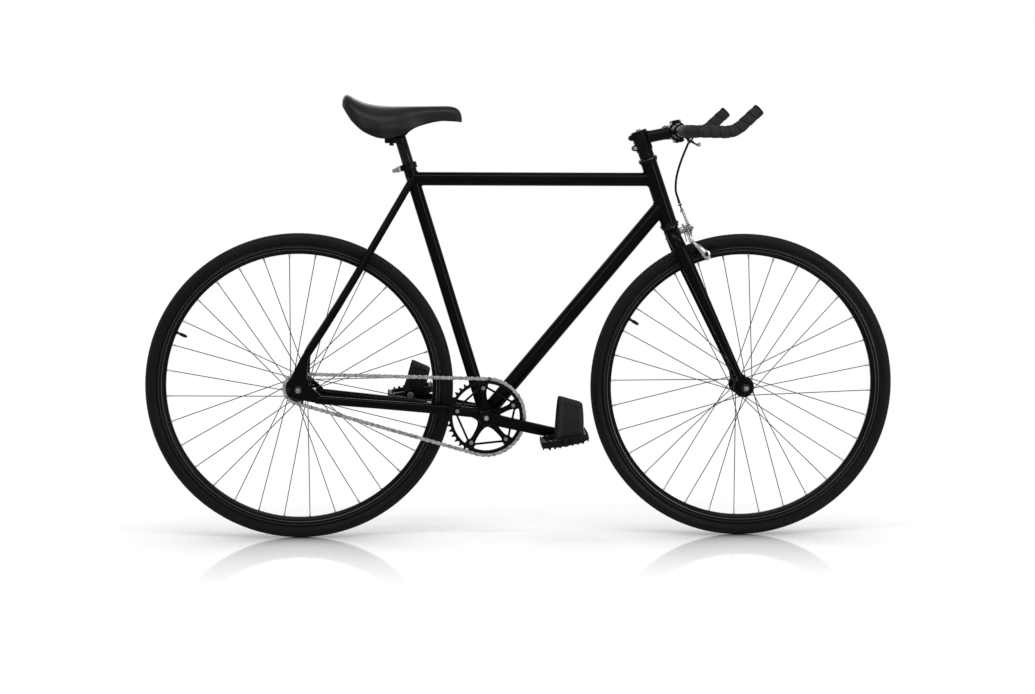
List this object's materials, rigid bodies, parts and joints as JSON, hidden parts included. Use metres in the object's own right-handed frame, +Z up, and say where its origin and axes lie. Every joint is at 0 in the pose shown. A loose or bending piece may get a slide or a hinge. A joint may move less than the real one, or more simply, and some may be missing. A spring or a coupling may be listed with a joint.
{
  "type": "fixed gear bicycle",
  "caption": "Fixed gear road bike with a level top tube, bullhorn bar, front rim brake, chain drive without a freewheel, and platform pedals with wide foot straps.",
  "frame": {"origin": "on the ground, midway between the two axles, in the frame's middle plane", "axes": "+X towards the front wheel, +Y towards the rider's left, +Z up"},
  "size_m": [1.6618, 0.4584, 0.9798],
  "materials": {
    "black_paint": "satin gloss black paint",
    "black_anodised": "satin black anodising",
    "bright_steel": "bright plated steel",
    "chain_steel": "nickel plated steel",
    "tyre_rubber": "matt black tyre rubber",
    "soft_rubber": "matt black rubber and bar tape",
    "strap_webbing": "matt black webbing",
    "saddle_vinyl": "smooth black saddle cover",
    "black_plastic": "matt black moulded plastic"
  },
  "bodies": {
    "frame_body": {"frame": "black_paint", "upper_headset_cup": "black_anodised", "lower_headset_cup": "black_anodised", "upper_headset_bearing": "bright_steel", "lower_headset_bearing": "bright_steel", "bottom_bracket_cartridge": "black_anodised", "seat_post_collar": "black_anodised", "collar_skewer": "bright_steel", "chain": "chain_steel", "rear_axle": "bright_steel"},
    "collar_lever_body": {"collar_lever": "bright_steel"},
    "seat_post_body": {"seat_post": "black_anodised", "rail_clamp": "black_anodised", "rail_clamp_bolt": "bright_steel", "saddle_rails": "black_anodised", "saddle_base": "black_plastic", "saddle_cover": "saddle_vinyl"},
    "steering_body": {"fork": "black_paint", "crown_race": "bright_steel", "headset_cover": "black_anodised", "headset_spacer": "black_anodised", "stem": "black_anodised", "stem_faceplate": "black_anodised", "stem_cap": "black_anodised", "preload_bolt": "bright_steel", "handlebar": "black_anodised", "left_bar_tape": "soft_rubber", "right_bar_tape": "soft_rubber", "left_bar_plug": "black_plastic", "right_bar_plug": "black_plastic", "brake_lever_clamp": "black_anodised", "brake_cable_housing": "black_plastic", "brake_inner_wire": "bright_steel", "caliper_bolt": "bright_steel", "caliper_spring": "bright_steel", "front_axle": "bright_steel"},
    "brake_lever_body": {"brake_lever": "bright_steel"},
    "left_arm_body": {"left_caliper_arm": "bright_steel", "left_brake_pad": "soft_rubber"},
    "right_arm_body": {"right_caliper_arm": "bright_steel", "right_brake_pad": "soft_rubber"},
    "release_lever_body": {"caliper_release_lever": "bright_steel"},
    "front_wheel_body": {"front_tyre": "tyre_rubber", "front_inner_tube": "soft_rubber", "front_rim": "black_anodised", "front_hub": "black_anodised"},
    "rear_wheel_body": {"rear_tyre": "tyre_rubber", "rear_inner_tube": "soft_rubber", "rear_rim": "black_anodised", "rear_hub": "black_anodised", "rear_cog": "bright_steel", "rear_lockring": "bright_steel"},
    "crankset_body": {"crank_spindle": "bright_steel", "right_crank": "black_paint", "left_crank": "black_paint", "chainring": "black_paint"},
    "right_pedal_body": {"right_pedal": "black_plastic", "right_foot_strap": "strap_webbing"},
    "left_pedal_body": {"left_pedal": "black_plastic", "left_foot_strap": "strap_webbing"}
  },
  "joints": [
    {"name": "steering", "type": "hinge", "parent": "frame_body", "child": "steering_body", "pos_m": [0.27862, 0, 0.83403], "axis": [-0.3256, 0, 0.9455], "range_deg": [-105, 105]},
    {"name": "front_wheel_spin", "type": "hinge", "parent": "steering_body", "child": "front_wheel_body", "pos_m": [0.4919, 0, 0.339], "axis": [0, 1, 0], "continuous": true},
    {"name": "rear_wheel_spin", "type": "hinge", "parent": "frame_body", "child": "rear_wheel_body", "pos_m": [-0.4919, 0, 0.339], "axis": [0, 1, 0], "continuous": true, "deforming": ["chain"]},
    {"name": "crank_spin", "type": "hinge", "parent": "frame_body", "child": "crankset_body", "pos_m": [-0.0811, 0, 0.275], "axis": [0, 1, 0], "continuous": true, "deforming": ["chain"]},
    {"name": "right_pedal_spin", "type": "hinge", "parent": "crankset_body", "child": "right_pedal_body", "pos_m": [0.08506, -0.1275, 0.23908], "axis": [0, 1, 0], "continuous": true},
    {"name": "left_pedal_spin", "type": "hinge", "parent": "crankset_body", "child": "left_pedal_body", "pos_m": [-0.24726, 0.1275, 0.31093], "axis": [0, 1, 0], "continuous": true},
    {"name": "brake_lever_pull", "type": "hinge", "parent": "steering_body", "child": "brake_lever_body", "pos_m": [0.36211, -0.058, 0.88482], "axis": [-0.866, 0, -0.5], "range_deg": [0, 15], "stiffness_Nm_per_rad": 0.5, "springref_deg": -22.92, "deforming": ["brake_inner_wire"]},
    {"name": "left_arm_close", "type": "hinge", "parent": "steering_body", "child": "left_arm_body", "pos_m": [0.37063, 0, 0.69121], "axis": [0.9455, 0, 0.3256], "range_deg": [-1.9, 0], "deforming": ["brake_inner_wire", "brake_cable_housing", "caliper_spring"]},
    {"name": "right_arm_close", "type": "hinge", "parent": "steering_body", "child": "right_arm_body", "pos_m": [0.36401, 0, 0.68893], "axis": [0.9455, 0, 0.3256], "range_deg": [0, 1.9], "deforming": ["brake_inner_wire", "caliper_spring"]},
    {"name": "release_lever_flip", "type": "hinge", "parent": "right_arm_body", "child": "release_lever_body", "pos_m": [0.36792, 0.034, 0.67758], "axis": [0.9455, 0, 0.3256], "range_deg": [0, 90]},
    {"name": "seat_post_height", "type": "slide", "parent": "frame_body", "child": "seat_post_body", "axis": [-0.294, 0, 0.9558], "range_m": [-0.04, 0.025]},
    {"name": "collar_lever_open", "type": "hinge", "parent": "frame_body", "child": "collar_lever_body", "pos_m": [-0.2725, -0.0223, 0.81792], "axis": [-0.294, 0, 0.9558], "range_deg": [0, 150]}
  ],
  "couplings": [
    {"joint": "crank_spin", "follows": "rear_wheel_spin", "ratio": 0.38095},
    {"joint": "left_arm_close", "follows": "brake_lever_pull", "ratio": -0.126},
    {"joint": "right_arm_close", "follows": "brake_lever_pull", "ratio": 0.126}
  ]
}
